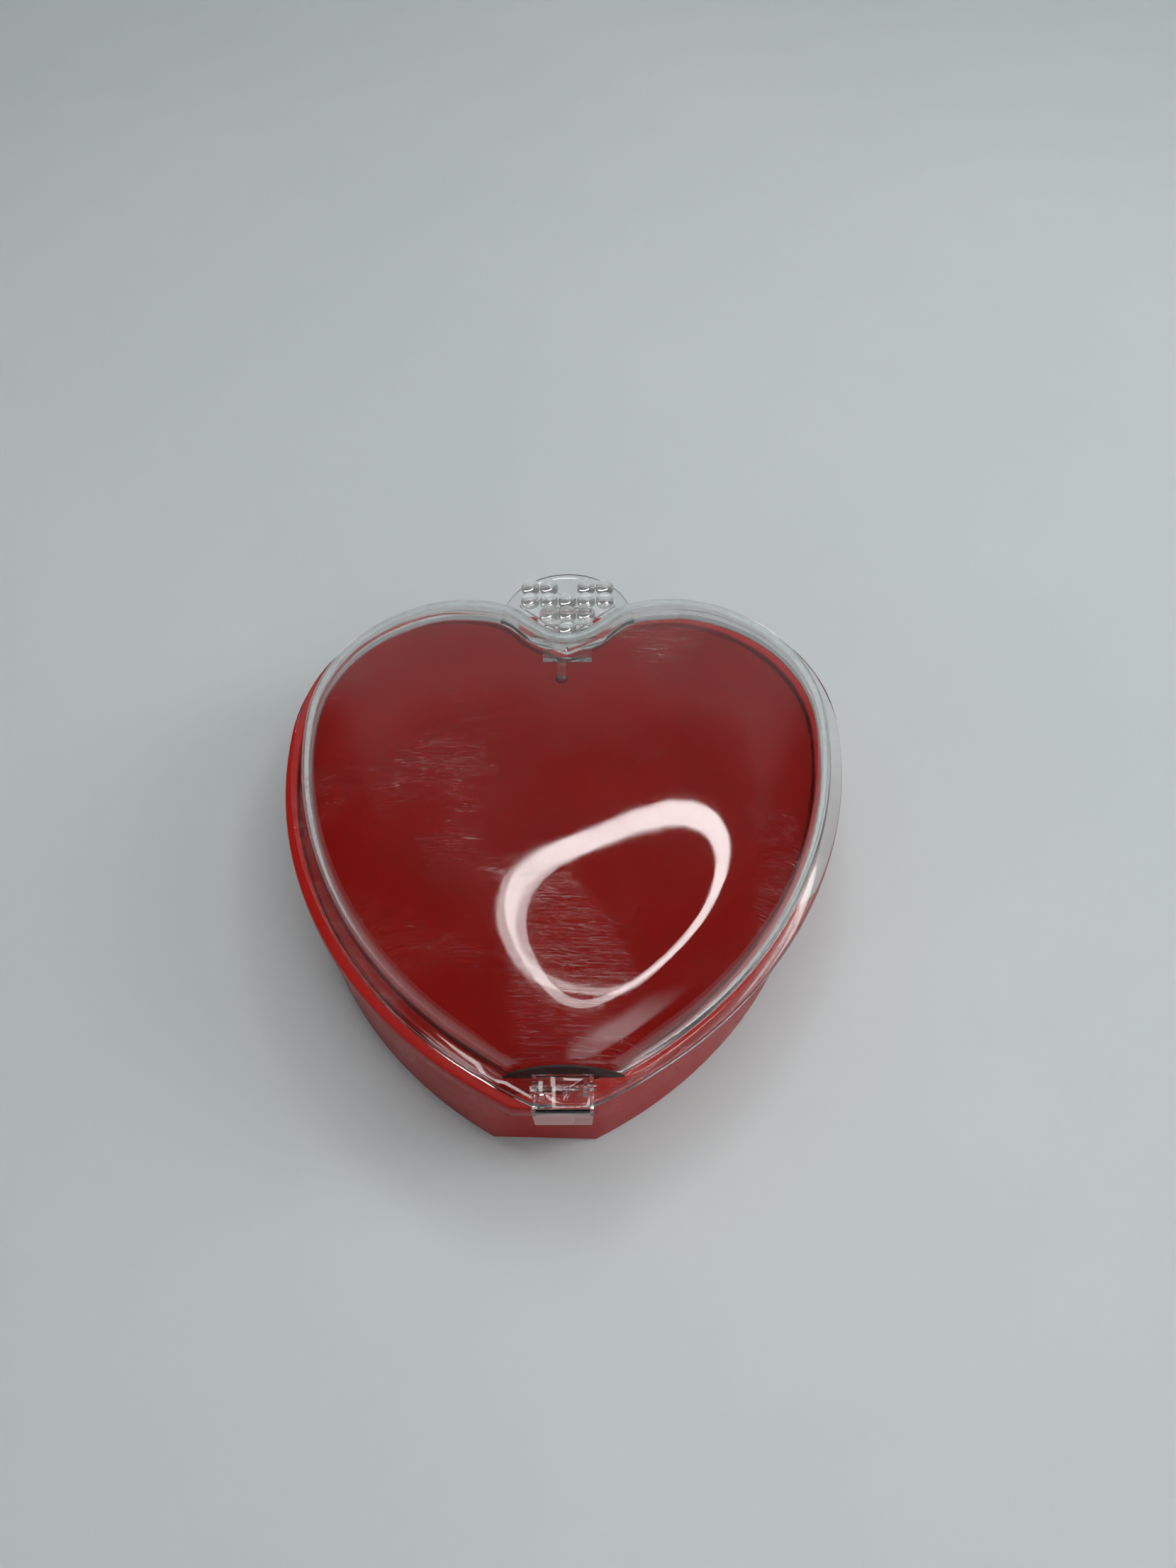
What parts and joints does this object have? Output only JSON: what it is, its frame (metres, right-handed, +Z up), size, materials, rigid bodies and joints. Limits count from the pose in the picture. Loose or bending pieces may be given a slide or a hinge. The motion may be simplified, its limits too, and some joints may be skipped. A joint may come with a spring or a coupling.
{
  "type": "wind-up music box",
  "caption": "Heart-shaped wind-up music box: red plastic body with a key underneath, hinged clear domed lid with a beaded rear tab and front latch, comb-and-cylinder movement inside.",
  "frame": {"origin": "on the flat underside, on the heart's centre line, 30 mm in front of the cleft", "axes": "+Z up, +X across the heart, +Y from the tip towards the cleft and hinge"},
  "size_m": [0.0898, 0.1015, 0.0333],
  "materials": {
    "red_plastic": "glossy moulded",
    "clear_plastic": "clear, lightly scratched",
    "black_rubber": "satin",
    "steel": "bright",
    "brass": "machined",
    "zinc": "die-cast zinc, dull grey"
  },
  "bodies": {
    "base": {"body_shell": "red_plastic", "bottom_plate": "red_plastic", "deck_plate": "red_plastic", "hinge_pin": "steel", "bottom_screw_front": "steel", "bottom_screw_left": "steel", "bottom_screw_right": "steel", "movement_screw_front": "steel", "movement_screw_left": "steel", "movement_screw_right": "steel", "bridge_screw_front": "steel", "bridge_screw_rear": "steel", "comb_screw_left": "steel", "comb_screw_right": "steel", "mainspring": "steel", "comb": "steel", "lever_post": "steel", "spring_barrel": "brass", "bridge_pillar_front": "brass", "bridge_pillar_rear": "brass", "movement_bedplate": "zinc", "barrel_bridge": "zinc", "left_bracket": "zinc", "right_bracket": "zinc", "governor_side_plate": "zinc", "governor_bracket": "zinc", "comb_base": "zinc"},
    "lid": {"lid_dome": "clear_plastic", "front_seal": "black_rubber", "bead_cluster": "clear_plastic", "latch_pin": "clear_plastic"},
    "latch": {"latch_clasp": "clear_plastic"},
    "cylinder": {"pinned_cylinder": "brass", "cylinder_arbor": "steel", "cylinder_pinion": "brass", "cylinder_wheel": "brass"},
    "key_train": {"winding_key": "steel", "winding_arbor": "steel", "main_wheel": "brass", "ratchet_wheel": "steel", "ratchet_click": "steel"},
    "governor": {"governor_wheel": "brass"},
    "fly": {"worm_fly": "steel"},
    "stop_pin": {"stop_pin": "red_plastic"},
    "stop_lever": {"stop_lever": "steel"}
  },
  "joints": [
    {"name": "lid_hinge", "type": "hinge", "parent": "base", "child": "lid", "pos_m": [0, 0.038, 0.017], "axis": [-1, 0, 0], "range_deg": [0, 105]},
    {"name": "latch_swing", "type": "hinge", "parent": "lid", "child": "latch", "pos_m": [0.00326, -0.05006, 0.02365], "axis": [-0.9995, -0.0309, 0], "range_deg": [0, 10], "stiffness_Nm_per_rad": 0.02},
    {"name": "cylinder_turn", "type": "hinge", "parent": "base", "child": "cylinder", "pos_m": [0.0015, -0.006, 0.0132], "axis": [1, 0, 0], "continuous": true},
    {"name": "key_turn", "type": "hinge", "parent": "base", "child": "key_train", "pos_m": [-0.012, -0.006, 0], "axis": [0, 0, 1], "continuous": true},
    {"name": "governor_turn", "type": "hinge", "parent": "base", "child": "governor", "pos_m": [0.024, -0.0128, 0.0132], "axis": [1, 0, 0], "continuous": true},
    {"name": "fly_turn", "type": "hinge", "parent": "base", "child": "fly", "pos_m": [0.025, -0.017, 0.0132], "axis": [0, 0, 1], "continuous": true},
    {"name": "stop_pin_rise", "type": "slide", "parent": "base", "child": "stop_pin", "axis": [0, 0, 1], "range_m": [0, 0.00105]},
    {"name": "stop_lever_turn", "type": "hinge", "parent": "base", "child": "stop_lever", "pos_m": [0.0255, 0.009, 0], "axis": [0, 0, 1], "range_deg": [0, 8]}
  ],
  "couplings": [
    {"joint": "key_turn", "follows": "cylinder_turn", "ratio": 0.41667},
    {"joint": "governor_turn", "follows": "cylinder_turn", "ratio": -2.5},
    {"joint": "fly_turn", "follows": "cylinder_turn", "ratio": -40},
    {"joint": "stop_pin_rise", "follows": "lid_hinge", "m_per_rad": 0.00057},
    {"joint": "stop_lever_turn", "follows": "lid_hinge", "ratio": 0.076}
  ]
}
